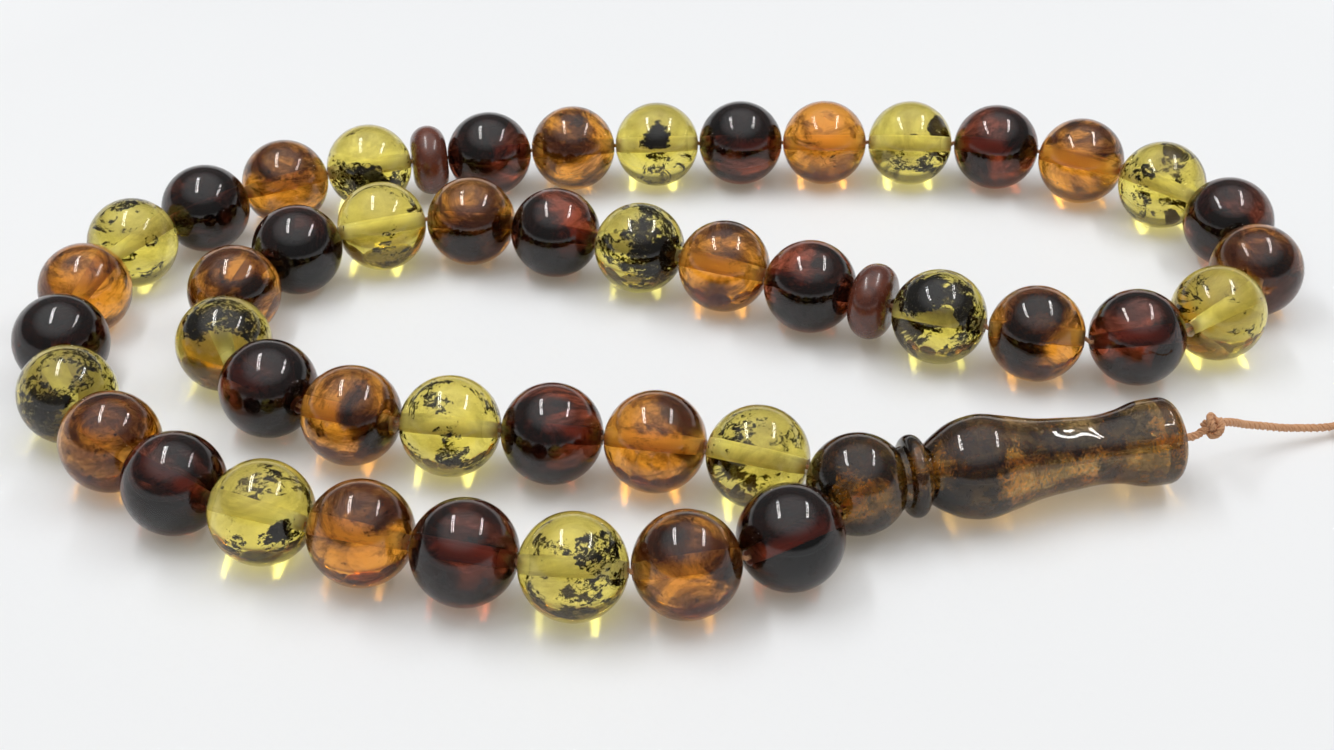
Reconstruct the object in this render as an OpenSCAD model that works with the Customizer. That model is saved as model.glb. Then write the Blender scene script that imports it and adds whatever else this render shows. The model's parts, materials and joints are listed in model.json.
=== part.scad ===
// A misbaha: 45 round amber beads in three groups of fifteen, parted by two pause discs.
// One thin cord runs through them all. Its two ends enter the ball of the imam, the long
// turned piece, through two slanted holes, leave it side by side at the flared end, and are
// knotted behind it into a tail. The beads lie on a table with the loop folded back on itself.
// Millimetres, +Z up. The origin is on the table, under the middle of the beads.

/* [Beads] */
// Diameter of a round bead
bead_d = 12; // [11:0.5:14]
// Diameter of the hole through a bead or a pause disc
bore_d = 1.5; // [1.3:0.1:2]
// Depth of the small chamfer at each mouth of a hole
chamfer = 0.25; // [0.1:0.05:0.4]

/* [Pause discs] */
// Diameter of a pause disc
disc_d = 9.8; // [8:0.2:10.4]
// Thickness of a pause disc along the cord
disc_t = 5; // [4:0.2:5.6]

/* [Imam] */
// Diameter of the ball, where both strands enter
ball_d = 11.7; // [10.9:0.1:12]
// Distance from the middle of the ball to the flared end
imam_reach = 37.8; // [37:0.2:40]
// Diameter of the belly behind the collar
belly_d = 12; // [11:0.1:12]
// Diameter of the waist
waist_d = 8; // [7:0.1:9]
// Diameter of the flared end
flare_d = 10.1; // [9.6:0.1:11]
// Diameter of the collar ring
collar_d = 9.5; // [8.6:0.1:10.4]
// Diameter of the long hole down the middle
long_bore_d = 1.7; // [1.6:0.1:2]
// Diameter of the two slanted holes in the ball
side_bore_d = 2.1; // [2.1:0.1:2.4]

/* [Cord] */
// Diameter of the single strand in the beads
strand_d = 0.6; // [0.4:0.05:0.6]
// Diameter of the tail, where the two strands are twisted together
tail_d = 1.1; // [0.9:0.05:1.1]
// Diameter of a knot
knot_d = 3.2; // [2.6:0.1:3.6]

/* [Hidden] */
BEADS = 45;
GROUP = 15;
FAR_TURN_END = 26;
CORD_SIDES = 8;
FINE = 64;
SEARCH_STEPS = 14;

scale_k = bead_d / 12;
lie_z = bead_d / 2;
end_gap = 0.35;
first_bead_reach = (bead_d + ball_d) / 2 + end_gap;
imam_play = 2;
strand_half_gap = 0.31;
junction_reach = imam_play / 2;
neck_r = 3.5;
groove_r = 3.25;
collar_reach = 6.45;
collar_half_w = 1.15;
body_reach = 7.9;
side_flare_depth = 1.2;
side_flare_d = side_bore_d + 1;
hole_overrun = 1.2;
end_round = 1.7;

// The loop's route on the table, for 12 mm beads, from the ball's middle round to it again.
loop_route = [
    [20.5, -33.4], [9.5, -28], [-2, -24.8], [-26, -21], [-38, -18.5], [-48.8, -12.5], [-55.8, -2.5],
    [-56.5, 9.2], [-50, 19.3], [-39, 25.3], [-27, 26.2], [-4, 18.3], [19, 7.5], [34.5, 0], [46, -4],
    [58, -5], [69.3, 0.5], [76.3, 11], [75.2, 22.5], [68.3, 32.8], [57.8, 40.2], [46.5, 44.5],
    [34.5, 46], [-2, 47], [-32, 44], [-54.5, 37.5], [-72.3, 22], [-76.4, 4], [-73, -12.8],
    [-56.5, -31], [-34, -40.6], [-11, -46.8], [2, -46.6], [12.6, -42.4], [20.5, -33.4]
];

// The tail's route: x and y from the hole in the flared end, z above the table.
tail_route = [
    [0, 0, 6], [2.2, 0.4, 6], [3.3, 0.7, 6.5], [4.5, 0.9, 7.1], [5.8, 1.8, 6.9],
    [7.5, 3.1, 5.9], [9.5, 4.4, 4.6], [12, 5.5, 3.5], [14.6, 6.3, 2.6], [17.2, 7, 2],
    [19.4, 7.5, 1.6], [21.2, 8, 1.4], [23, 8.3, 1.6], [24.8, 8.6, 1.2], [26.8, 8.8, 0.7],
    [29.2, 9, 0.6], [31.6, 9.1, 0.6]
];
knot_1_point = 3;
knot_2_point = 12;

function two_digits(i) = str(i < 10 ? "0" : "", i);
function bead_name(i) = str("bead_", two_digits(i));

function unit(v) = v / norm(v);
function left_of(v) = [-v[1], v[0]];
function at_height(p, z) = [p[0], p[1], z];

// A smooth curve through the points of a list: u counts the points from 0.
function curve_at(points, u) =
    let (last = len(points) - 1,
         i = min(floor(u), last - 1),
         t = u - i,
         b = points[i],
         c = points[i + 1],
         a = i > 0 ? points[i - 1] : 2 * b - c,
         d = i < last - 1 ? points[i + 2] : 2 * c - b)
    b + t * (c - a) / 2 + t * t * (a - 2.5 * b + 2 * c - d / 2) + t * t * t * (1.5 * (b - c) + (d - a) / 2);

function loop_at(u) = scale_k * curve_at(loop_route, u);
loop_end = len(loop_route) - 1;
ball_centre = loop_at(0);

// The pieces on the loop in order: 15 beads, a disc, 15 beads, a disc, 15 beads.
PIECES = BEADS + 2;
function is_disc(j) = j == GROUP || j == 2 * GROUP + 1;
function bead_slot(i) = i - 1 + floor((i - 1) / GROUP);
function disc_slot(i) = i * (GROUP + 1) - 1;
function width_of(j) = is_disc(j) ? disc_t : bead_d;

// The gaps are wider round the far turn and narrower on the way back.
function looseness(j) = j < GROUP ? 1 : j < FAR_TURN_END ? 2.1 : 0.75;
function spacing(j, gap) = (width_of(j) + width_of(j + 1)) / 2 + gap * looseness(j);

// The place on the route that lies a straight distance from another, found by halving.
function step_along(from, distance, low, high, steps) =
    let (middle = (low + high) / 2)
    steps == 0 ? middle
    : norm(loop_at(middle) - from) < distance ? step_along(from, distance, middle, high, steps - 1)
    : step_along(from, distance, low, middle, steps - 1);
function next_place(u, distance) =
    step_along(loop_at(u), distance, u, min(u + 3, loop_end), SEARCH_STEPS + 4);

// Every piece's place on the route, for a given gap between neighbours.
function places(gap) = [
    for (j = 0, u = next_place(0, first_bead_reach);
         j < PIECES;
         u = next_place(u, spacing(j, gap)), j = j + 1) u
];

// The gap at which the last bead lies as close to the ball as the first one does.
function closing_gap(low, high, steps) =
    let (gap = (low + high) / 2, last = loop_at(places(gap)[PIECES - 1]))
    steps == 0 ? gap
    : norm(last - ball_centre) > first_bead_reach ? closing_gap(gap, high, steps - 1)
    : closing_gap(low, gap, steps - 1);

bead_gap = closing_gap(0, 1, SEARCH_STEPS);
centres = [for (u = places(bead_gap)) loop_at(u)];
function neighbour(j) = j < 0 || j >= PIECES ? ball_centre : centres[j];
function bore_way(j) = unit(neighbour(j + 1) - neighbour(j - 1));

imam_way = -unit(unit(centres[0] - ball_centre) + unit(centres[PIECES - 1] - ball_centre));
junction = ball_centre + junction_reach * imam_way;
exit_point = ball_centre + imam_reach * imam_way;
tail_points = [for (p = tail_route) [exit_point[0] + p[0], exit_point[1] + p[1], p[2] * scale_k]];

// The middle line of the cord: down the imam, through every bead, and back down the imam.
function mouth(j, side) = centres[j] + side * width_of(j) / 2 * bore_way(j);
function strand_in_imam(side) = [
    for (p = [exit_point, junction]) p + side * strand_half_gap * left_of(imam_way)
];
cord_line = concat(
    strand_in_imam(1),
    [for (j = [0 : PIECES - 1], side = [-1, 1]) mouth(j, side)],
    [for (p = [1, 0]) strand_in_imam(-1)[p]]
);

// Each slanted hole follows its strand, as it lies with the imam in the middle of its play.
function strand_mouth(side) = side > 0 ? mouth(0, -1) : mouth(PIECES - 1, 1);
function hole_start(side) = ball_centre + side * strand_half_gap * left_of(imam_way);
function hole_way(side) = strand_mouth(side) - junction_reach * imam_way - hole_start(side);
function hole_turn(side) =
    let (way = hole_way(side))
    atan2(way * left_of(imam_way), way * imam_way);

// A round tube of flat facets along a line of points.
function tangent(line, i) = unit(line[min(i + 1, len(line) - 1)] - line[max(i - 1, 0)]);
function ring(centre, way, r) =
    let (side = unit(cross([0, 0, 1], way)), up = cross(way, side))
    [for (k = [0 : CORD_SIDES - 1])
        let (angle = (k + 0.5) * 360 / CORD_SIDES)
        centre + r * (cos(angle) * side + sin(angle) * up)];

module tube(line, d) {
    rings = len(line);
    last = (rings - 1) * CORD_SIDES;
    points = [for (i = [0 : rings - 1]) each ring(line[i], tangent(line, i), d / 2)];
    walls = [
        for (i = [0 : rings - 2], k = [0 : CORD_SIDES - 1])
            let (a = i * CORD_SIDES, n = (k + 1) % CORD_SIDES)
            [a + k, a + CORD_SIDES + k, a + CORD_SIDES + n, a + n]
    ];
    start_cap = [for (k = [0 : CORD_SIDES - 1]) k];
    end_cap = [for (k = [CORD_SIDES - 1 : -1 : 0]) last + k];
    polyhedron(points, concat([start_cap], walls, [end_cap]), convexity = 10);
}

// Puts a piece made along +X at a place on the table, turned to lie along a direction.
module laid(centre, way) {
    translate(at_height(centre, lie_z))
        rotate([0, 0, atan2(way[1], way[0])])
            children();
}

module along_x() {
    rotate([0, 90, 0]) children();
}

// Spins the half outline of a piece about the cord, leaving its hole with a chamfer at each mouth.
// The outline lies right of the Y axis, which is the middle of the hole; mouth_y is half the
// hole's length.
module spun_with_hole(mouth_y) {
    along_x() rotate_extrude($fn = FINE) difference() {
        children();
        translate([-bead_d, -bead_d]) square([bead_d + bore_d / 2, 2 * bead_d]);
        for (side = [-1, 1])
            translate([bore_d / 2, side * mouth_y])
                rotate(45)
                    square(chamfer * sqrt(2), center = true);
    }
}

module bead(i) {
    j = bead_slot(i);
    tint = ["gold", "chocolate", "maroon"][(i - 1) % 3];
    color(tint)
        laid(centres[j], bore_way(j))
            spun_with_hole(sqrt(pow(bead_d / 2, 2) - pow(bore_d / 2, 2)))
                circle(d = bead_d, $fn = FINE);
}

module pause_disc(i) {
    j = disc_slot(i);
    rim = (disc_d - disc_t) / 2;
    color("sienna")
        laid(centres[j], bore_way(j))
            spun_with_hole(disc_t / 2) {
                translate([rim, 0]) circle(d = disc_t, $fn = FINE);
                translate([0, -disc_t / 2]) square([rim, disc_t]);
            }
}

// The imam's body from the groove behind the collar to the flare: distance, radius.
body_outline = [
    [body_reach, groove_r], [9.4, 4.35], [11.6, 5.5], [14.6, belly_d / 2], [17.5, 5.45],
    [21.2, 4.6], [25, waist_d / 2 + 0.2], [28.2, waist_d / 2], [30.9, waist_d / 2 + 0.28],
    [33.4, flare_d / 2 - 0.12], [imam_reach - end_round, flare_d / 2]
];
OUTLINE_STEPS = 5;

module imam_turning() {
    body = [for (u = [0 : 1 / OUTLINE_STEPS : len(body_outline) - 1.01]) curve_at(body_outline, u)];
    rounding = [
        for (angle = [90 : -15 : 0])
            [imam_reach - end_round + end_round * cos(angle), flare_d / 2 - end_round + end_round * sin(angle)]
    ];
    collar = [
        for (angle = [180 : -15 : 0])
            [collar_reach + collar_half_w * cos(angle), collar_d / 2 - collar_half_w + collar_half_w * sin(angle)]
    ];
    neck = [[0, 0], [0, neck_r], [collar_reach - collar_half_w, neck_r]];
    groove = [[collar_reach + collar_half_w, groove_r]];
    outline = concat(neck, collar, groove, body, rounding, [[imam_reach, 0]]);
    along_x() rotate_extrude($fn = FINE) polygon([for (p = outline) [p[1], p[0]]]);
    sphere(d = ball_d, $fn = FINE);
}

module imam() {
    color("saddlebrown")
        laid(ball_centre, imam_way)
            difference() {
                imam_turning();
                along_x() translate([0, 0, -0.3]) cylinder(d = long_bore_d, h = imam_reach + 1, $fn = FINE);
                translate([imam_reach - chamfer, 0, 0])
                    along_x() cylinder(d1 = long_bore_d, d2 = long_bore_d + 4 * chamfer, h = 2 * chamfer, $fn = FINE);
                for (side = [-1, 1])
                    translate([0, side * strand_half_gap, 0]) rotate([0, 0, hole_turn(side)]) along_x() {
                        translate([0, 0, -hole_overrun]) cylinder(d = side_bore_d, h = ball_d, $fn = FINE);
                        translate([0, 0, ball_d / 2 - side_flare_depth])
                            cylinder(d1 = side_bore_d, d2 = side_flare_d, h = side_flare_depth, $fn = FINE);
                    }
            }
}

module stringing_cord() {
    color("peru") tube([for (p = cord_line) at_height(p, lie_z)], strand_d);
}

module tail_cord() {
    color("peru") tube(tail_points, tail_d);
}

module tail_knot(point) {
    color("chocolate") translate(tail_points[point]) sphere(d = knot_d, $fn = FINE);
}

for (i = [1 : BEADS]) bead(i);
pause_disc(1);  // pause_disc_1
pause_disc(2);  // pause_disc_2
imam();
stringing_cord();
tail_cord();
tail_knot(knot_1_point);  // tail_knot_1
tail_knot(knot_2_point);  // tail_knot_2
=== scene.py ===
"""A misbaha on a pale table: 45 amber beads, two pause discs, the imam and its knotted cord.

Metres, +Z up, in the frame of the CAD part. The pieces are made in this order: camera, cords
and knots, beads with what is inside them, discs, imam, table and lights.
"""

import json
import math

import bpy
import numpy as np
from mathutils import Matrix, Vector


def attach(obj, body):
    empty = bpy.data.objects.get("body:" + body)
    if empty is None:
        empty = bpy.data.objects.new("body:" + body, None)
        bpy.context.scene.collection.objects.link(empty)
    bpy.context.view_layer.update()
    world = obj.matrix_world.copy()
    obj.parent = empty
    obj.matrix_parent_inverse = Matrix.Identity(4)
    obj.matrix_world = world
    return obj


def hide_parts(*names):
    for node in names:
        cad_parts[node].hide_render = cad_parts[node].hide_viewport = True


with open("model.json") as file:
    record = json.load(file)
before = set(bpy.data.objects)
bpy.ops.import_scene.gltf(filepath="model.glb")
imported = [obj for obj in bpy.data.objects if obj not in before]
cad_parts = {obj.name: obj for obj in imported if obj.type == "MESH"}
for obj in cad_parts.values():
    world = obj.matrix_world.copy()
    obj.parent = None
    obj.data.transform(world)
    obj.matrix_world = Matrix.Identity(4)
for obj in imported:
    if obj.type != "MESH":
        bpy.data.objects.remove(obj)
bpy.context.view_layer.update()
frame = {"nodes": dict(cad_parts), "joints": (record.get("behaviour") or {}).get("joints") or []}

MM = 0.001
BEADS = 45
GROUP = 15
BEAD_R = 6 * MM
BORE_R = 0.75 * MM
CHAMFER = 0.25 * MM
DISC_T = 5 * MM

# The imam: the middle of its ball, its length from there, and how the strands lie in it.
BALL = Vector((20.5, -33.4, 6)) * MM
IMAM_REACH = 37.8 * MM
STRAND_HALF_GAP = 0.31 * MM
JUNCTION_REACH = 1 * MM

# The tail's route: x and y from the hole in the imam's end, z above the table, in millimetres.
TAIL_ROUTE = [
    (0, 0, 6), (2.2, 0.4, 6), (3.3, 0.7, 6.5), (4.5, 0.9, 7.1), (5.8, 1.8, 6.9),
    (7.5, 3.1, 5.9), (9.5, 4.4, 4.6), (12, 5.5, 3.5), (14.6, 6.3, 2.6), (17.2, 7, 2),
    (19.4, 7.5, 1.6), (21.2, 8, 1.4), (23, 8.3, 1.6), (24.8, 8.6, 1.2), (26.8, 8.8, 0.7),
    (29.2, 9, 0.6), (31.6, 9.1, 0.6),
]
KNOT_1_POINT = 3
KNOT_2_POINT = 12
TAIL_STEP = 0.08 * MM
STRAND_STEP = 0.25 * MM

# A knot's loops: millimetres out from the cord, how far they swing, and half their width.
KNOT_OUT = 0.82
KNOT_SWING = 0.34
KNOT_HALF_W = 0.62


# ---------------------------------------------------------------- camera

LENS_MM = 54.47
SENSOR_MM = 36
CAMERA_AT = (-0.00067, -0.21165, 0.1458)
CAMERA_TILT = math.radians(55.086)
CAMERA_ROLL = math.radians(-1.061)


def add_camera():
    camera = bpy.data.objects.new("camera", bpy.data.cameras.new("camera"))
    bpy.context.scene.collection.objects.link(camera)
    camera.data.lens = LENS_MM
    camera.data.sensor_width = SENSOR_MM
    camera.data.clip_start = 0.01
    tilt = Matrix.Rotation(CAMERA_TILT, 4, "X")
    roll = Matrix.Rotation(CAMERA_ROLL, 4, "Z")
    camera.matrix_world = Matrix.Translation(CAMERA_AT) @ tilt @ roll
    bpy.context.scene.camera = camera


add_camera()


# ---------------------------------------------------------------- meshes

def new_piece(name, points, faces, material, body, slot):
    """A mesh piece that rides on a CAD body and takes the material it is given."""
    mesh = bpy.data.meshes.new(name)
    mesh.from_pydata([tuple(p) for p in points], [], faces)
    mesh.validate()
    mesh.update()
    mesh.polygons.foreach_set("use_smooth", [True] * len(mesh.polygons))
    piece = bpy.data.objects.new(name, mesh)
    bpy.context.scene.collection.objects.link(piece)
    mesh.materials.append(material)
    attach(piece, body)
    return piece


def unit(v):
    v = np.asarray(v, float)
    return v / np.linalg.norm(v)


def smooth_line(points, step):
    """Points a given distance apart on a smooth curve through a list of points."""
    p = np.asarray(points, float)
    p = np.vstack([2 * p[0] - p[1], p, 2 * p[-1] - p[-2]])
    fine = []
    for a, b, c, d in zip(p, p[1:], p[2:], p[3:]):
        for t in np.arange(0, 1, 0.05):
            fine.append(
                b + t * (c - a) / 2 + t**2 * (a - 2.5 * b + 2 * c - d / 2)
                + t**3 * (1.5 * (b - c) + (d - a) / 2)
            )
    fine.append(p[-2])
    fine = np.array(fine)
    run = np.concatenate([[0], np.cumsum(np.linalg.norm(np.diff(fine, axis=0), axis=1))])
    at = np.linspace(0, run[-1], max(2, round(run[-1] / step) + 1))
    return np.column_stack([np.interp(at, run, fine[:, k]) for k in range(3)])


def frames_along(line):
    """Two unit vectors across a line at each of its points, carried along without twist."""
    way = np.gradient(line, axis=0)
    way /= np.linalg.norm(way, axis=1)[:, None]
    side = np.zeros_like(line)
    start = np.cross(way[0], (0, 0, 1)) if abs(way[0][2]) < 0.9 else np.cross(way[0], (1, 0, 0))
    side[0] = unit(start)
    for i in range(1, len(line)):
        side[i] = unit(side[i - 1] - way[i] * (side[i - 1] @ way[i]))
    return side, np.cross(way, side)


def tube(line, radius, sides, taper=0):
    """Points and faces of a round tube along a line, its ends closed and drawn in by taper."""
    side, up = frames_along(line)
    angle = np.arange(sides) * 2 * math.pi / sides
    r = np.full(len(line), radius)
    if taper:
        r[0] = r[-1] = radius * (1 - taper)
    cos, sin = (wave(angle)[None, :, None] for wave in (np.cos, np.sin))
    around = cos * side[:, None] + sin * up[:, None]
    points = (line[:, None] + r[:, None, None] * around).reshape(-1, 3)
    faces = []
    for i in range(len(line) - 1):
        for k in range(sides):
            a, b = i * sides + k, i * sides + (k + 1) % sides
            faces.append((a, b, b + sides, a + sides))
    faces.append(tuple(range(sides))[::-1])
    faces.append(tuple(range((len(line) - 1) * sides, len(line) * sides)))
    return points, faces


def joined(parts):
    """Several (points, faces) pairs as one."""
    points, faces, count = [], [], 0
    for p, f in parts:
        points.append(np.asarray(p, float))
        faces.extend(tuple(k + count for k in face) for face in f)
        count += len(p)
    return np.vstack(points), faces


def plied(line, strands, offset, pitch, turn=0.0):
    """The lines of several strands twisted round a line."""
    side, up = frames_along(line)
    run = np.concatenate([[0], np.cumsum(np.linalg.norm(np.diff(line, axis=0), axis=1))])
    lines = []
    for k in range(strands):
        angle = (turn + 2 * math.pi * (run / pitch + k / strands))[:, None]
        lines.append(line + offset * (np.cos(angle) * side + np.sin(angle) * up))
    return lines


# ---------------------------------------------------------------- materials

class Nodes:
    """A short way to build a node material: each call adds a node and sets its inputs."""

    def __init__(self, name):
        self.material = bpy.data.materials.new(name)
        self.material.use_nodes = True
        self.tree = self.material.node_tree
        self.tree.nodes.clear()

    def add(self, kind, inputs=None, **settings):
        node = self.tree.nodes.new(kind)
        for key, value in settings.items():
            setattr(node, key, value)
        for key, value in (inputs or {}).items():
            socket = node.inputs[key]
            if isinstance(value, bpy.types.NodeSocket):
                self.tree.links.new(value, socket)
            else:
                socket.default_value = value
        return node

    def place(self):
        return self.add("ShaderNodeTexCoord").outputs["Object"]

    def noise(self, vector, scale, detail=3.0, roughness=0.5, distortion=0.0):
        inputs = {
            "Vector": vector, "Scale": scale, "Detail": detail, "Roughness": roughness,
            "Distortion": distortion,
        }
        return self.add("ShaderNodeTexNoise", inputs).outputs["Fac"]

    def wander(self, vector, scale, distance):
        """The place, moved about by up to about half a distance."""
        cloud = self.add("ShaderNodeTexNoise", {"Vector": vector, "Scale": scale, "Detail": 4.0})
        middle = self.add("ShaderNodeVectorMath", {0: cloud.outputs["Color"], 1: (0.5, 0.5, 0.5)},
                          operation="SUBTRACT")
        shift = self.add("ShaderNodeVectorMath", {0: middle.outputs[0], "Scale": distance},
                         operation="SCALE")
        return self.add("ShaderNodeVectorMath", {0: vector, 1: shift.outputs[0]}).outputs[0]

    def chips(self, vector, scale):
        """A random number for each of many chips pressed together."""
        cells = self.add("ShaderNodeTexVoronoi", {"Vector": vector, "Scale": scale})
        split = self.add("ShaderNodeSeparateColor", {0: cells.outputs["Color"]})
        return split.outputs[0]

    def ramp(self, value, stops):
        node = self.add("ShaderNodeValToRGB", {"Fac": value})
        elements = node.color_ramp.elements
        while len(elements) < len(stops):
            elements.new(0.5)
        for element, (position, color) in zip(elements, stops):
            element.position = position
            grey = (color, color, color) if isinstance(color, (int, float)) else color
            element.color = (*grey, 1)
        return node.outputs["Color"]

    def math(self, operation, a, b):
        return self.add("ShaderNodeMath", {0: a, 1: b}, operation=operation).outputs[0]

    def mix(self, factor, a, b, blend="MIX"):
        node = self.add("ShaderNodeMix", data_type="RGBA", blend_type=blend)
        for key, value in (("Factor", factor), ("A", a), ("B", b)):
            sockets = [s for s in node.inputs if s.name == key and s.enabled]
            if isinstance(value, bpy.types.NodeSocket):
                self.tree.links.new(value, sockets[0])
            elif key == "Factor":
                sockets[0].default_value = value
            else:
                sockets[0].default_value = (*value, 1)
        return next(s for s in node.outputs if s.enabled)

    def bump(self, height, strength, distance):
        inputs = {"Height": height, "Strength": strength, "Distance": distance}
        return self.add("ShaderNodeBump", inputs).outputs["Normal"]

    def finish(self, surface, volume=None):
        inputs = {"Surface": surface}
        if volume is not None:
            inputs["Volume"] = volume
        self.add("ShaderNodeOutputMaterial", inputs)
        return self.material


def absorption_for(through):
    """Volume colour and density that let a share of red, green and blue through a bead."""
    per_metre = -np.log(np.array(through)) / (2 * BEAD_R)
    density = per_metre.max() * 1.02
    return (*(1 - per_metre / density), 1), float(density)


def amber(name, through, bore_tint):
    """Clear coloured resin, polished outside, with drilled holes left pale and matt inside."""
    n = Nodes(name)
    place = n.place()
    drilled = n.add("ShaderNodeAttribute", attribute_name="drilled").outputs["Fac"]
    skin = n.ramp(n.noise(place, 240.0), [(0.3, (1, 1, 1)), (0.7, (0.93, 0.93, 0.9))])
    polish = n.ramp(n.noise(place, 900.0, detail=4.0), [(0.3, 0.012), (0.75, 0.05)])
    scuffs = n.noise(place, 2600.0, detail=2.0)
    shader = n.add("ShaderNodeBsdfPrincipled", {
        "Base Color": n.mix(drilled, skin, bore_tint),
        "Roughness": n.mix(drilled, polish, (0.8, 0.8, 0.8)),
        "IOR": 1.54,
        "Transmission Weight": n.ramp(drilled, [(0.0, 1.0), (1.0, 0.15)]),
        "Normal": n.bump(scuffs, 0.02, 0.00002),
    })
    color, density = absorption_for(through)
    volume = n.add("ShaderNodeVolumeAbsorption", {"Color": color, "Density": density})
    return n.finish(shader.outputs["BSDF"], volume.outputs["Volume"])


def inclusions(name, tones, start, soft, strength, specks, swirl=0.0, size=150.0, stretch=1.0,
               haze=0.0):
    """Stains hanging in the resin: patches with ragged rims, and clusters of specks.

    tones are the colours of the specks, of a patch's rim, of its middle and of the haze round it.
    start is the noise level where a patch begins, soft the width of its rim, strength how opaque
    it is, specks how much of the resin near a patch is speckled, stretch how flat the patches
    are, and haze how opaque the thin cloud between them is.
    """
    speck, rim, middle, cloud_tone = tones
    n = Nodes(name)
    place = n.add("ShaderNodeMapping", {"Vector": n.place(), "Scale": (1, 1, stretch)}).outputs[0]
    blot = n.add("ShaderNodeAttribute", attribute_name="blot").outputs["Fac"]
    stain = n.math("ADD", n.noise(place, size, detail=12.0, roughness=0.66, distortion=swirl), blot)
    grit = n.noise(place, 1300.0, detail=6.0, roughness=0.8, distortion=0.5)
    cluster = n.math("ADD", n.noise(place, size * 1.5, detail=3.0), blot)
    body = n.ramp(stain, [(start, 0), (start + soft, strength)])
    near = n.ramp(cluster, [(0.42, 0), (0.6, 1)])
    mark = n.math("ADD", n.math("MULTIPLY", grit, near), n.math("MULTIPLY", stain, 0.35))
    dots = n.ramp(mark, [(0.9 - specks, 0), (0.915 - specks, 1)])
    colour = n.ramp(stain, [(start, rim), (start + soft + 0.06, middle)])
    alpha = n.math("MAXIMUM", body, dots)
    if haze:
        cloud = n.noise(place, size * 0.7, detail=7.0, roughness=0.6, distortion=1.5)
        thin = n.ramp(cloud, [(0.46, 0.0), (0.62, haze)])
        colour = n.mix(n.ramp(body, [(0.0, 0.0), (0.4, 1.0)]), cloud_tone, colour)
        alpha = n.math("MAXIMUM", alpha, thin)
    shader = n.add("ShaderNodeBsdfPrincipled", {
        "Base Color": n.mix(dots, colour, speck),
        "Roughness": n.ramp(grit, [(0.3, 0.45), (0.7, 0.7)]),
        "Specular IOR Level": 0.0,
        "Alpha": alpha,
    })
    return n.finish(shader.outputs["BSDF"])


def cord_material(name, light, dark, fibre_scale):
    """Waxed thread: fine fibres in two browns, matt in the hollows."""
    n = Nodes(name)
    place = n.place()
    fibres = n.noise(place, fibre_scale, detail=4.0, roughness=0.7)
    wear = n.noise(place, 350.0, detail=2.0)
    colour = n.mix(wear, n.ramp(fibres, [(0.3, dark), (0.7, light)]), light)
    shader = n.add("ShaderNodeBsdfPrincipled", {
        "Base Color": colour,
        "Roughness": n.ramp(fibres, [(0.2, 0.55), (0.8, 0.85)]),
        "Sheen Weight": 0.25,
        "Normal": n.bump(fibres, 0.5, 0.00005),
    })
    return n.finish(shader.outputs["BSDF"])


CORD = cord_material("waxed_cord", (0.66, 0.35, 0.17), (0.36, 0.14, 0.055), 9000.0)


# ---------------------------------------------------------------- cords and knots

def joint_of(body):
    return next(j for j in frame["joints"] if j["child"] == body)


def centre_of(body):
    return Vector(joint_of(body)["pos_m"])


def way_of(body):
    return Vector(joint_of(body)["axis"])


def bead_name(i):
    return f"bead_{i:02d}"


def string_order():
    """The pieces on the loop, from the imam round to the imam."""
    order = []
    for i in range(1, BEADS + 1):
        order.append(bead_name(i))
        if i % GROUP == 0 and i < BEADS:
            order.append(f"pause_disc_{i // GROUP}")
    return order


IMAM_WAY = way_of("imam")
EXIT = BALL + IMAM_REACH * IMAM_WAY
TAIL = [Vector((EXIT.x + x * MM, EXIT.y + y * MM, z * MM)) for x, y, z in TAIL_ROUTE]


def strand_path():
    """The single strand: down the imam, through every bead and disc, and back down the imam."""
    across = IMAM_WAY.cross(Vector((0, 0, -1)))
    points = []
    for piece in string_order():
        half = DISC_T / 2 if piece.startswith("pause") else BEAD_R
        for side in (-1, 1):
            points.append(centre_of(piece) + side * half * way_of(piece))
    start = [p + STRAND_HALF_GAP * across for p in (EXIT, BALL + JUNCTION_REACH * IMAM_WAY)]
    end = [p - STRAND_HALF_GAP * across for p in (BALL + JUNCTION_REACH * IMAM_WAY, EXIT)]
    return start + points + end


def add_strand():
    fine = []
    points = [np.array(p) for p in strand_path()]
    for a, b in zip(points, points[1:]):
        steps = max(1, round(np.linalg.norm(b - a) / STRAND_STEP))
        fine.extend(a + (b - a) * k / steps for k in range(steps))
    fine.append(points[-1])
    plies = plied(np.array(fine), strands=3, offset=0.13 * MM, pitch=1.5 * MM)
    parts = [tube(ply, radius=0.16 * MM, sides=6) for ply in plies]
    piece = new_piece("stringing_thread", *joined(parts), CORD, "cord", "cord")
    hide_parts("stringing_cord")


def add_tail():
    line = smooth_line(TAIL, TAIL_STEP)
    parts = []
    for ply in plied(line, strands=3, offset=0.2 * MM, pitch=2.6 * MM):
        for yarn in plied(ply, strands=3, offset=0.14 * MM, pitch=1.7 * MM):
            parts.append(tube(yarn, radius=0.18 * MM, sides=7, taper=0.4))
    piece = new_piece("twisted_tail", *joined(parts), CORD, "cord", "cord")
    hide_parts("tail_cord")
    return piece, line


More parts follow.
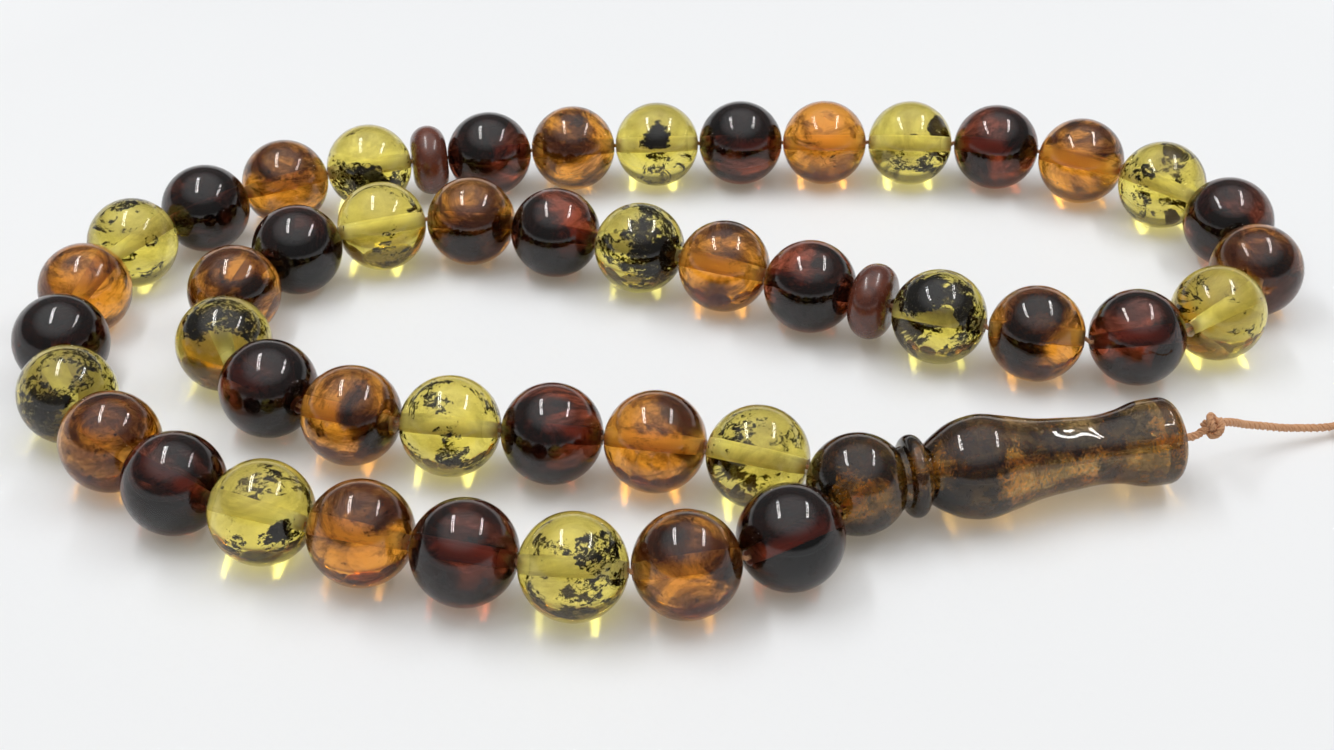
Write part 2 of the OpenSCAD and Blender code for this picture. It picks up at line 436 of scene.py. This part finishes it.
def add_knot(number, point):
    """An overhand knot: the cord winds round itself as a small three-lobed knot."""
    before, middle, after = (np.array(TAIL[point + k]) for k in (-1, 0, 1))
    way = unit(after - before)
    side = unit(np.cross(way, (0, 0, 1)))
    up = np.cross(side, way)
    turns = np.linspace(0, 2 * math.pi, 140)
    out = (KNOT_OUT + KNOT_SWING * np.cos(3 * turns)) * MM
    along = KNOT_HALF_W * MM * np.sin(3 * turns)
    loop = (
        middle + (out * np.cos(2 * turns))[:, None] * side
        + (out * np.sin(2 * turns))[:, None] * up + along[:, None] * way
    )
    parts = []
    for ply in plied(loop, strands=3, offset=0.24 * MM, pitch=2 * MM):
        for yarn in plied(ply, strands=3, offset=0.11 * MM, pitch=1.4 * MM):
            parts.append(tube(yarn, radius=0.15 * MM, sides=7))
    piece = new_piece(f"overhand_knot_{number}", *joined(parts), CORD, "cord", "cord")
    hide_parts(f"tail_knot_{number}")
    return piece


add_strand()
tail, tail_line = add_tail()
knots = [add_knot(1, KNOT_1_POINT), add_knot(2, KNOT_2_POINT)]


# ---------------------------------------------------------------- beads

def lathe(profile, sides, centre, way):
    """Points and faces of an outline of (along, out) pairs spun about a direction."""
    way = unit(way)
    side = unit(np.cross(way, (0, 0, 1)))
    up = np.cross(side, way)
    profile = np.asarray(profile)
    angle = np.arange(sides) * 2 * math.pi / sides
    spokes = np.cos(angle)[:, None] * side + np.sin(angle)[:, None] * up
    rings = (
        np.asarray(centre) + profile[:, 0, None, None] * way
        + profile[:, 1, None, None] * spokes[None]
    )
    faces = []
    for i in range(len(profile) - 1):
        for k in range(sides):
            a, b = i * sides + k, i * sides + (k + 1) % sides
            faces.append((a, a + sides, b + sides, b))
    return rings.reshape(-1, 3), faces


# The angles from a bead's mouth to the ring that keeps its edge crisp, and to the next ring.
CRISP_EDGE = 0.004
FIRST_RING = 0.04
BEAD_SIDES = 72
LAYER_SIDES = 48
# How far a stained layer stays from a hole's middle, in radii of the hole.
CLEAR_OF_BORE = 1.6
OUTER_LAYER_R = 5.3 * MM
INNER_LAYER_R = 3.6 * MM


def bead_outline():
    """Round the bead from one mouth to the other, and back through its hole."""
    mouth_out = BORE_R + CHAMFER
    first = math.asin(mouth_out / BEAD_R)
    last = math.pi - first
    angles = np.concatenate([
        [first, first + CRISP_EDGE], np.linspace(first + FIRST_RING, last - FIRST_RING, 46),
        [last - CRISP_EDGE, last],
    ])
    skin = [(-BEAD_R * math.cos(t), BEAD_R * math.sin(t)) for t in angles]
    deep = math.sqrt(BEAD_R**2 - BORE_R**2) - CHAMFER
    bore = [(x, BORE_R) for x in np.linspace(deep, -deep, 13)]
    return skin, bore


def slot_of(i):
    return SLOTS[(i - 1) % len(SLOTS)]


def add_bead(i, material):
    skin, bore = bead_outline()
    body = bead_name(i)
    points, faces = lathe(skin + bore + skin[:1], BEAD_SIDES, centre_of(body), way_of(body))
    on_skin = len(skin) * BEAD_SIDES
    in_bore = len(bore) * BEAD_SIDES
    count = on_skin + in_bore
    faces = [tuple(k % count for k in face) for face in faces]
    piece = new_piece(f"{body}_resin", points[:count], faces, material, body, slot_of(i))
    drilled = piece.data.attributes.new("drilled", "FLOAT", "POINT")
    drilled.data.foreach_set("value", [0.0] * on_skin + [1.0] * in_bore)
    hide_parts(body)


def blot_levels(points, centre, r, blots):
    """How much darker or clearer each point is for the blots of its bead."""
    levels = np.zeros(len(points))
    for across, up, size, amount in blots:
        front = math.sqrt(max(0, 1 - across**2 - up**2))
        way = unit(across * ACROSS + up * UPWARD + front * FORWARD)
        away = np.linalg.norm(points - (centre + r * way), axis=1) / (size * BEAD_R)
        levels += amount * np.exp(-(away**2))
    return levels


def add_inclusions(i, material, radii):
    """Thin stained layers inside a bead, round its hole."""
    body = bead_name(i)
    centre = np.array(centre_of(body))
    parts = []
    levels = []
    for r in radii:
        first = math.asin(CLEAR_OF_BORE * BORE_R / r)
        outline = [
            (-r * math.cos(t), r * math.sin(t)) for t in np.linspace(first, math.pi - first, 30)
        ]
        parts.append(lathe(outline, LAYER_SIDES, centre, way_of(body)))
        levels.append(blot_levels(parts[-1][0], centre, r, BLOTS.get(i, [])))
    piece = new_piece(f"{body}_inclusions", *joined(parts), material, body, slot_of(i))
    blot = piece.data.attributes.new("blot", "FLOAT", "POINT")
    blot.data.foreach_set("value", np.concatenate(levels))


# Where a bead's marks lie as one faces the beads from the front and 35 degrees above the table.
ACROSS = np.array((1, 0, 0))
UPWARD = np.array((0, 0.57, 0.82))
FORWARD = np.array((0, -0.82, 0.57))

# The dark and clear places of each bead: across, up (in bead radii), size, and how dark.
BLOTS = {
    # Yellow beads.
    1: [(-0.4, 0.35, 0.35, 0.06), (0.35, 0.3, 0.35, 0.06), (0.3, -0.5, 0.3, 0.06),
        (-0.1, -0.2, 0.7, -0.14)],
    4: [(-0.3, 0.65, 0.35, 0.1), (0.3, 0.3, 0.4, 0.05), (0, -0.55, 0.4, 0.08),
        (-0.5, 0, 0.4, -0.12)],
    7: [(-0.55, 0.35, 0.35, 0.22), (0.5, 0.4, 0.35, 0.2), (0, 0, 0.4, -0.2)],
    10: [(0.3, -0.35, 0.3, 0.13), (-0.4, -0.1, 0.2, 0.08), (0, 0.3, 0.7, -0.12)],
    13: [(0, 0, 0.9, 0.08), (0.7, -0.2, 0.5, 0.12), (-0.3, 0.3, 0.5, 0.06)],
    16: [(-0.4, 0.45, 0.5, 0.25), (0.5, 0.35, 0.3, 0.2), (0.65, -0.3, 0.4, 0.15),
         (0.1, -0.75, 0.35, 0.12), (-0.4, -0.4, 0.4, -0.25), (0.12, 0.2, 0.14, -0.25)],
    19: [(-0.5, 0.3, 0.4, 0.05), (0.5, -0.4, 0.3, 0.05), (0.1, 0, 1, -0.1)],
    22: [(-0.6, 0, 0.35, 0.24), (-0.25, 0.1, 0.25, 0.15), (0.45, 0.35, 0.7, -0.35),
         (0, -0.6, 0.5, -0.2)],
    25: [(-0.3, -0.55, 0.25, 0.16), (0.3, -0.4, 0.25, 0.2), (0.5, -0.65, 0.25, 0.15),
         (0.1, 0.5, 0.9, -0.35), (0.65, 0.45, 0.5, -0.35)],
    28: [(0.05, 0.05, 0.3, 0.6), (0, 0, 1.2, -0.16)],
    31: [(-0.5, -0.5, 0.4, 0.22), (0.4, -0.35, 0.35, 0.17), (0, -0.3, 0.3, 0.1),
         (0, 0.5, 0.5, -0.25)],
    34: [(0, 0.8, 0.35, 0.12), (0.6, 0.2, 0.3, 0.05), (0.5, -0.6, 0.35, 0.08),
         (-0.3, 0, 0.6, -0.25)],
    37: [(0.45, 0.3, 0.4, 0.12), (-0.6, -0.4, 0.4, 0.1), (0.1, -0.1, 0.25, 0.14),
         (-0.1, 0.35, 0.3, -0.2)],
    40: [(0.5, -0.35, 0.35, 0.25), (-0.4, -0.45, 0.3, 0.13), (0.4, 0.8, 0.2, 0.1),
         (0, 0.4, 0.6, -0.25)],
    43: [(0.15, 0.3, 0.25, 0.07), (0.25, -0.1, 0.25, 0.07), (0.7, 0.3, 0.35, 0.05),
         (-0.7, 0.35, 0.3, 0.08), (0, -0.85, 0.5, 0.06), (-0.3, -0.1, 0.3, -0.2)],
    # Cognac beads.
    2: [(0, 0, 0.9, -0.1)],
    5: [(0.6, -0.5, 0.3, 0.3), (0.2, 0.4, 0.4, 0.12), (0, -0.05, 0.2, 0.15),
        (-0.5, -0.2, 0.4, -0.15)],
    8: [(0.35, 0.5, 0.25, -0.3), (0.1, 0, 0.4, 0.12), (0.7, 0.1, 0.25, 0.3)],
    11: [(-0.1, -0.65, 0.35, 0.4), (0.7, -0.3, 0.3, 0.2), (0, 0.3, 0.5, -0.12)],
    14: [(-0.3, -0.2, 0.6, -0.15), (0.2, 0.3, 0.4, 0.04)],
    17: [(-0.55, -0.35, 0.4, 0.4), (0.3, 0.6, 0.35, 0.25), (-0.3, 0.6, 0.3, 0.2),
         (0.5, -0.3, 0.4, -0.12)],
    20: [(0.6, 0, 0.5, 0.14), (-0.1, 0.1, 0.25, 0.2), (0.2, 0.1, 0.2, 0.2),
         (-0.4, -0.2, 0.4, -0.1)],
    23: [(0, 0.85, 0.3, 0.08), (-0.2, -0.2, 0.7, -0.15)],
    26: [(0, 0, 0.9, -0.15)],
    29: [(0, 0.1, 0.5, 0.06), (0.3, 0.6, 0.3, 0.12)],
    32: [(-0.1, 0.1, 0.4, 0.1), (0.2, -0.6, 0.5, -0.2)],
    35: [(-0.5, -0.2, 0.3, 0.05), (0.3, -0.3, 0.6, -0.15)],
    38: [(0.3, 0.2, 0.4, 0.06), (-0.2, -0.4, 0.5, -0.08)],
    41: [(0, 0.5, 0.5, 0.08), (0, -0.5, 0.5, -0.2)],
    44: [(-0.35, 0.6, 0.45, 0.12), (0.8, -0.2, 0.35, 0.12), (-0.1, -0.3, 0.5, -0.12)],
    # Cherry beads.
    3: [(-0.2, -0.1, 0.4, 0.12), (0.2, 0.5, 0.5, -0.22)],
    6: [(0.2, -0.3, 0.6, 0.12), (-0.4, 0.4, 0.5, -0.22)],
    9: [(0, -0.2, 0.8, 0.15), (0.4, 0.5, 0.3, -0.15)],
    12: [(0, -0.2, 0.8, 0.1), (0.5, 0.3, 0.4, -0.2)],
    15: [(-0.1, -0.4, 0.6, 0.2), (-0.2, 0.5, 0.4, -0.25)],
    18: [(-0.3, 0.4, 0.5, -0.2), (0.5, -0.3, 0.3, -0.12)],
    21: [(0.2, 0.4, 0.5, -0.2), (0, -0.4, 0.5, 0.12)],
    24: [(0.5, -0.1, 0.5, 0.2), (-0.5, 0, 0.55, -0.35)],
    27: [(-0.2, 0.1, 0.35, 0.12), (0.3, -0.5, 0.4, -0.25), (-0.6, 0.4, 0.3, -0.2)],
    30: [(-0.3, 0, 0.6, 0.12), (0.5, 0.4, 0.4, -0.18)],
    33: [(0.3, -0.4, 0.6, 0.12), (-0.2, 0.4, 0.4, -0.2)],
    36: [(0, 0.5, 0.4, 0.1), (0, -0.5, 0.4, -0.18)],
    39: [(0, -0.5, 0.6, 0.15), (-0.4, 0.4, 0.4, -0.22), (0.5, 0.2, 0.35, -0.18)],
    42: [(-0.5, -0.35, 0.3, 0.15), (0.2, -0.2, 0.5, -0.2), (-0.1, 0.5, 0.4, -0.15)],
    45: [(-0.2, 0.5, 0.5, 0.1), (0.1, -0.3, 0.5, -0.3)],
}
SLOTS = ["yellow_amber", "cognac_amber", "cherry_amber"]
RESINS = [
    amber("lemon_resin", (0.99, 0.83, 0.13), (1.0, 0.97, 0.8)),
    amber("cognac_resin", (0.96, 0.35, 0.027), (1.0, 0.85, 0.55)),
    amber("cherry_resin", (0.34, 0.055, 0.018), (0.34, 0.12, 0.07)),
]
BLACK = (0.008, 0.006, 0.004)
STAINS = [
    inclusions("slate_stains", (BLACK, BLACK, (0.09, 0.07, 0.05), (0.36, 0.25, 0.05)), start=0.675,
               soft=0.025, strength=0.82, specks=0.23, stretch=1.6, haze=0.22),
    inclusions("umber_swirls",
               ((0.02, 0.006, 0.002), (0.26, 0.06, 0.01), (0.015, 0.005, 0.003), BLACK), start=0.45,
               soft=0.17, strength=0.9, specks=0.14, swirl=1.4, size=150.0, stretch=2.0),
    inclusions("dark_swirls",
               (BLACK, (0.05, 0.01, 0.005), (0.008, 0.007, 0.007), BLACK), start=0.42,
               soft=0.16, strength=0.97, specks=0.12, swirl=1.2, size=140.0, stretch=1.5),
]

for i in range(1, BEADS + 1):
    kind = (i - 1) % len(SLOTS)
    add_bead(i, RESINS[kind])
    add_inclusions(i, STAINS[kind], (OUTER_LAYER_R, INNER_LAYER_R))


# ---------------------------------------------------------------- discs and imam

def disc_material():
    """Dull reddish-brown amber, clouded and only half polished."""
    n = Nodes("disc_resin")
    place = n.place()
    cloud = n.noise(place, 420.0, detail=5.0, distortion=0.8)
    shader = n.add("ShaderNodeBsdfPrincipled", {
        "Base Color": n.ramp(cloud, [(0.3, (0.065, 0.014, 0.007)), (0.7, (0.16, 0.04, 0.018))]),
        "Roughness": n.ramp(n.noise(place, 1500.0), [(0.3, 0.18), (0.8, 0.35)]),
        "Coat Weight": 0.4,
        "Coat Roughness": 0.1,
        "Normal": n.bump(cloud, 0.1, 0.0001),
    })
    return n.finish(shader.outputs["BSDF"])


def on_imam(along, turn, out):
    """A point of the imam: millimetres along it and out from its axis, turned from the front."""
    way = np.array(IMAM_WAY)
    front = unit(FORWARD - way * (FORWARD @ way))
    top = np.cross(front, way)
    angle = math.radians(turn)
    point = along * way + out * (math.cos(angle) * front + math.sin(angle) * top)
    return tuple(np.array(BALL) + point * MM)


SLATE_PATCH = (0.008, 0.008, 0.007)
TAUPE_PATCH = (0.06, 0.028, 0.015)
BROWN_PATCH = (0.022, 0.006, 0.002)
OLIVE_PATCH = (0.2, 0.115, 0.02)
AMBER_PATCH = (0.42, 0.19, 0.035)
INK_PATCH = (0.004, 0.004, 0.003)

# The imam's patches: along and round it (degrees up from the front), out, size, colour.
IMAM_PATCHES = [
    (-1, 60, 5, 5, TAUPE_PATCH), (0, 15, 5.8, 4, BROWN_PATCH), (-1, -25, 5.5, 4.2, AMBER_PATCH),
    (1.5, -30, 5.5, 3, OLIVE_PATCH), (0, -75, 5.5, 4, SLATE_PATCH),
    (4.6, 20, 3.6, 2.4, OLIVE_PATCH), (4.6, -60, 3.6, 2.4, OLIVE_PATCH),
    (6.45, 0, 4, 1.6, BROWN_PATCH), (6.45, -60, 4, 3, SLATE_PATCH), (6.45, 70, 4, 2.5, SLATE_PATCH),
    (9.5, 25, 4.6, 3, AMBER_PATCH), (13, 45, 6, 5.5, TAUPE_PATCH), (13, 0, 6, 4.5, BROWN_PATCH),
    (13, -60, 6, 6.5, SLATE_PATCH), (18.5, -20, 5.3, 4, AMBER_PATCH), (19.5, 60, 5, 4, TAUPE_PATCH),
    (22, 10, 4.5, 4.2, BROWN_PATCH), (22.5, -45, 4.5, 4, OLIVE_PATCH),
    (25.5, -15, 4.2, 2.6, AMBER_PATCH), (25.6, 25, 4.2, 2.0, INK_PATCH),
    (28.5, -35, 4.1, 2.5, SLATE_PATCH), (29, 40, 4.1, 3.5, BROWN_PATCH),
    (32, -30, 4.5, 4, OLIVE_PATCH), (32.5, 50, 4.8, 3.8, INK_PATCH),
    (35.5, 10, 5, 3.2, AMBER_PATCH), (36, -50, 5, 4, OLIVE_PATCH), (36.8, 40, 5, 3, OLIVE_PATCH),
]

# Where the patches thin out behind and below, so that light gets through to the table.
IMAM_WINDOWS = [(along, turn, 4.8, 5.5) for along in (11, 19, 27, 35) for turn in (125, -125)]


def imam_mosaic():
    """Amber, olive, brown and slate patches hanging in the imam, run together at their edges."""
    n = Nodes("imam_mosaic")
    place = n.place()
    moved = n.wander(n.wander(place, 400.0, 0.006), 1900.0, 0.003)
    chip = n.chips(moved, 260.0)
    colour = n.ramp(chip, [
        (0.1, SLATE_PATCH), (0.3, BROWN_PATCH), (0.5, TAUPE_PATCH), (0.7, OLIVE_PATCH),
        (0.9, AMBER_PATCH),
    ])

    def away_from(along, turn, out, size):
        away = n.add("ShaderNodeVectorMath", {0: moved, 1: on_imam(along, turn, out)},
                     operation="DISTANCE").outputs["Value"]
        return n.math("DIVIDE", away, size * MM)

    for *spot, tone in IMAM_PATCHES:
        share = n.ramp(away_from(*spot), [(0.7, 0.85), (0.95, 0.0)])
        colour = n.mix(share, colour, tone)
    veil = n.noise(place, 760.0, detail=9.0, roughness=0.74, distortion=1.2)
    shade = n.ramp(veil, [
        (0.34, (0.15, 0.12, 0.09)), (0.5, (1, 0.95, 0.85)), (0.66, (2.4, 1.75, 0.9)),
    ])
    colour = n.mix(1.0, colour, shade, blend="MULTIPLY")
    light = n.add("ShaderNodeRGBToBW", {"Color": colour}).outputs[0]
    gaps = n.ramp(n.noise(place, 900.0, detail=6.0, roughness=0.7), [(0.45, 1.0), (0.6, 0.88)])
    alpha = n.math("MULTIPLY", n.ramp(light, [(0.02, 0.98), (0.08, 0.8), (0.3, 0.55)]), gaps)
    for spot in IMAM_WINDOWS:
        thin = n.ramp(away_from(*spot), [(0.6, 0.15), (1.0, 1.0)])
        alpha = n.math("MULTIPLY", alpha, thin)
    shader = n.add("ShaderNodeBsdfPrincipled", {
        "Base Color": colour,
        "Roughness": n.ramp(veil, [(0.3, 0.45), (0.7, 0.7)]),
        "Specular IOR Level": 0.0,
        "Alpha": alpha,
    })
    return n.finish(shader.outputs["BSDF"])


# The imam's outline: millimetres along it from the middle of the ball, and out from its axis.
BODY_OUTLINE = [
    (7.9, 3.25), (9.4, 4.35), (11.6, 5.5), (14.6, 6), (17.5, 5.45), (21.2, 4.6), (25, 4.2),
    (28.2, 4), (30.9, 4.28), (33.4, 4.93), (36.1, 5.05),
]
BALL_R = 5.85
NECK_R = 3.5
COLLAR_REACH = 6.45
COLLAR_R = 4.75
COLLAR_HALF_W = 1.15
END_ROUND = 1.7
END_R = 5.05
LONG_BORE_R = 0.85
SIDE_BORE_R = 1.05
SIDE_FLARE = (1.2, 0.5)
HOLE_OVERRUN = 1.2
CUTTER_SIDES = 48
IMAM_SIDES = 128
IMAM_LAYER_SIDES = 96
IMAM_LAYER_DEPTH = 0.55 * MM


def imam_outline():
    """The turned outline from the ball's end of the long hole round to its other end."""
    reach = IMAM_REACH / MM
    foot = math.asin(LONG_BORE_R / BALL_R)
    neck = math.pi - math.asin(NECK_R / BALL_R)
    ball = [(-BALL_R * math.cos(t), BALL_R * math.sin(t)) for t in np.linspace(foot, neck, 40)]
    collar = [
        (COLLAR_REACH - COLLAR_HALF_W * math.cos(t),
         COLLAR_R - COLLAR_HALF_W + COLLAR_HALF_W * math.sin(t))
        for t in np.linspace(0, math.pi, 20)
    ]
    body = [tuple(p[:2]) for p in smooth_line([(x, y, 0) for x, y in BODY_OUTLINE], 0.35)]
    end = [
        (reach - END_ROUND + END_ROUND * math.sin(t), END_R - END_ROUND + END_ROUND * math.cos(t))
        for t in np.linspace(0.05, math.pi / 2, 12)
    ]
    lip = CHAMFER / MM
    hole = [(reach, LONG_BORE_R + lip), (reach - lip, LONG_BORE_R)]
    return [(x * MM, y * MM) for x, y in ball + collar + body + end + hole]


def hole_line(side):
    """Where a slanted hole starts near the ball's middle, and the way it runs to its mouth."""
    way_in = np.array(IMAM_WAY)
    across = np.array(IMAM_WAY.cross(Vector((0, 0, -1))))
    start = np.array(BALL) + side * STRAND_HALF_GAP * across
    first, last = string_order()[0], string_order()[-1]
    body, end = (first, -1) if side > 0 else (last, 1)
    mouth = np.array(centre_of(body) + end * BEAD_R * way_of(body))
    return start, unit(mouth - JUNCTION_REACH * way_in - start)


def hole_cutter(side):
    """The slanted hole that a strand runs through, from the ball's middle to the first mouth."""
    start, way = hole_line(side)
    deep, wider = (d * MM for d in SIDE_FLARE)
    r = SIDE_BORE_R * MM
    face = BALL_R * MM
    back = -HOLE_OVERRUN * MM
    axis = 1e-5
    outline = [(back, axis), (back, r), (face - deep, r), (face + deep, r + 2 * wider),
               (face + deep, axis)]
    points, faces = lathe(outline, CUTTER_SIDES, start, way)
    last_ring = (len(outline) - 1) * CUTTER_SIDES
    faces += [tuple(range(CUTTER_SIDES))[::-1], tuple(range(last_ring, last_ring + CUTTER_SIDES))]
    mesh = bpy.data.meshes.new("hole_cutter")
    mesh.from_pydata([tuple(p) for p in points], [], faces)
    cutter = bpy.data.objects.new("hole_cutter", mesh)
    bpy.context.scene.collection.objects.link(cutter)
    return cutter


def inside_outline(depth):
    """The imam's outline drawn in by a depth all round, as (along, out) pairs."""
    outer = np.array(sorted(imam_outline()[:-2]))
    near = np.linspace(-depth, depth, 21)
    least = CLEAR_OF_BORE * LONG_BORE_R * MM
    inner = []
    for x in np.linspace(outer[0, 0] + depth, outer[-1, 0] - depth, 130):
        out = np.interp(x + near, outer[:, 0], outer[:, 1]) - np.sqrt(depth**2 - near**2)
        if out.min() > least:
            inner.append((x, out.min()))
    return inner + [(inner[-1][0], least)]


def add_imam_inclusions(material, depth):
    """A thin stained layer inside the imam, open round its holes."""
    points, faces = lathe(inside_outline(depth), IMAM_LAYER_SIDES, BALL, IMAM_WAY)
    middles = points[np.array(faces)].mean(axis=1)
    open_here = np.zeros(len(faces), bool)
    for side in (-1, 1):
        start, way = hole_line(side)
        along = (middles - start) @ way
        off = np.linalg.norm(middles - start - along[:, None] * way, axis=1)
        open_here |= (along > 0) & (off < (SIDE_BORE_R + 0.4) * MM)
    kept = np.array(faces)[~open_here]
    used, kept = np.unique(kept, return_inverse=True)
    new_piece("imam_inclusions", points[used], kept.reshape(-1, 4).tolist(), material, "imam",
              "imam_amber")


def add_imam(material):
    """The imam as one smooth turning, with its long hole and two slanted holes cut into it."""
    outline = imam_outline()
    points, faces = lathe(outline + outline[:1], IMAM_SIDES, BALL, IMAM_WAY)
    count = len(outline) * IMAM_SIDES
    faces = [tuple(k % count for k in face) for face in faces]
    piece = new_piece("imam_turning", points[:count], faces, material, "imam", "imam_amber")
    cutters = [hole_cutter(side) for side in (-1, 1)]
    for cutter in cutters:
        cut = piece.modifiers.new("hole", "BOOLEAN")
        cut.operation = "DIFFERENCE"
        cut.solver = "EXACT"
        cut.object = cutter
    bpy.context.view_layer.update()
    cut_mesh = bpy.data.meshes.new_from_object(
        piece.evaluated_get(bpy.context.evaluated_depsgraph_get())
    )
    piece.modifiers.clear()
    piece.data = cut_mesh
    cut_mesh.polygons.foreach_set("use_smooth", [True] * len(cut_mesh.polygons))
    cut_mesh.set_sharp_from_angle(angle=math.radians(35))
    for cutter in cutters:
        bpy.data.objects.remove(cutter)
    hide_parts("imam")


DISC = disc_material()
for name in ("pause_disc_1", "pause_disc_2"):
    for slot in frame["nodes"][name].material_slots:
        slot.material = DISC
add_imam(amber("imam_resin", (0.82, 0.41, 0.065), (1.0, 0.85, 0.5)))
add_imam_inclusions(imam_mosaic(), IMAM_LAYER_DEPTH)


# ---------------------------------------------------------------- table and lights

TABLE_HALF = 3.0
TABLE_LOW = -0.02 * MM
STRIP_SIZE = (0.011, 0.29)
STRIP_HEIGHT = 0.35
STRIP_POWER = 0.21
# The studio's brightness from the level of the table (0) to straight up (1).
ROOM = [(0.0, 0.9), (0.13, 0.9), (0.24, 0.2), (0.6, 0.26), (0.85, 1.1), (1.0, 1.25)]


def add_table():
    """A pale card with painted light: it gives off a little light of its own, warm near the beads
    as a stand-in for light through the amber and fill in their shadows, and more where no lamp
    reaches.
    """
    n = Nodes("table_card")
    place = n.place()
    tone = n.noise(place, 3.0, detail=2.0)
    grain = n.noise(place, 700.0, detail=3.0)
    reach = n.add("ShaderNodeVectorMath", {0: place}, operation="LENGTH").outputs["Value"]
    # Painted light: the card's own emission, warm near the beads for light through the amber and
    # fill in their shadows, brighter further out.
    painted_glow = n.ramp(n.math("DIVIDE", reach, 2.0), [
        (0.07, (0.14, 0.118, 0.085)), (0.2, (0.4, 0.39, 0.37)), (0.5, (0.45, 0.45, 0.44)),
    ])
    shader = n.add("ShaderNodeBsdfPrincipled", {
        "Base Color": n.ramp(tone, [(0.3, (0.7, 0.73, 0.77)), (0.7, (0.73, 0.755, 0.79))]),
        "Roughness": n.ramp(grain, [(0.3, 0.5), (0.7, 0.6)]),
        "Specular IOR Level": 0.3,
        "Emission Color": painted_glow,
        "Emission Strength": 1.0,
    })
    mesh = bpy.data.meshes.new("table")
    corners = [
        (x * TABLE_HALF, y * TABLE_HALF, TABLE_LOW) for x, y in ((-1, -1), (1, -1), (1, 1), (-1, 1))
    ]
    mesh.from_pydata(corners, [], [(0, 1, 2, 3)])
    mesh.materials.append(n.finish(shader.outputs["BSDF"]))
    table = bpy.data.objects.new("table", mesh)
    bpy.context.scene.collection.objects.link(table)


def add_strip(name, centre, size, power):
    """A long soft light above the table, its length along Y."""
    light = bpy.data.lights.new(name, "AREA")
    light.shape = "RECTANGLE"
    light.size, light.size_y = size
    light.energy = power
    strip = bpy.data.objects.new(name, light)
    strip.location = centre
    bpy.context.scene.collection.objects.link(strip)


def add_world():
    """A pale room at table height, darker walls above it and a soft grey ceiling."""
    world = bpy.data.worlds.new("studio")
    bpy.context.scene.world = world
    world.use_nodes = True
    tree = world.node_tree
    place = tree.nodes.new("ShaderNodeTexCoord")
    height = tree.nodes.new("ShaderNodeSeparateXYZ")
    tree.links.new(place.outputs["Generated"], height.inputs[0])
    ramp = tree.nodes.new("ShaderNodeValToRGB")
    tree.links.new(height.outputs["Z"], ramp.inputs[0])
    elements = ramp.color_ramp.elements
    while len(elements) < len(ROOM):
        elements.new(0.5)
    for element, (position, tone) in zip(elements, ROOM):
        element.position = position
        element.color = (tone * 0.98, tone * 0.99, tone, 1)
    tree.links.new(ramp.outputs["Color"], tree.nodes["Background"].inputs["Color"])


add_table()
for name, x, y in (("left", -0.133, 0.062), ("right", 0.213, 0.065)):
    for k in (-1, 1):
        centre = (x + k * STRIP_SIZE[0], y, STRIP_HEIGHT)
        add_strip(f"strip_{name}_{k + 2}", centre, STRIP_SIZE, STRIP_POWER)
add_world()

scene = bpy.context.scene
scene.view_settings.view_transform = "Standard"
scene.cycles.blur_glossy = 0.05
scene.cycles.sample_clamp_indirect = 20
scene.cycles.max_bounces = 24
scene.cycles.transmission_bounces = 24
scene.cycles.glossy_bounces = 8
scene.cycles.transparent_max_bounces = 32
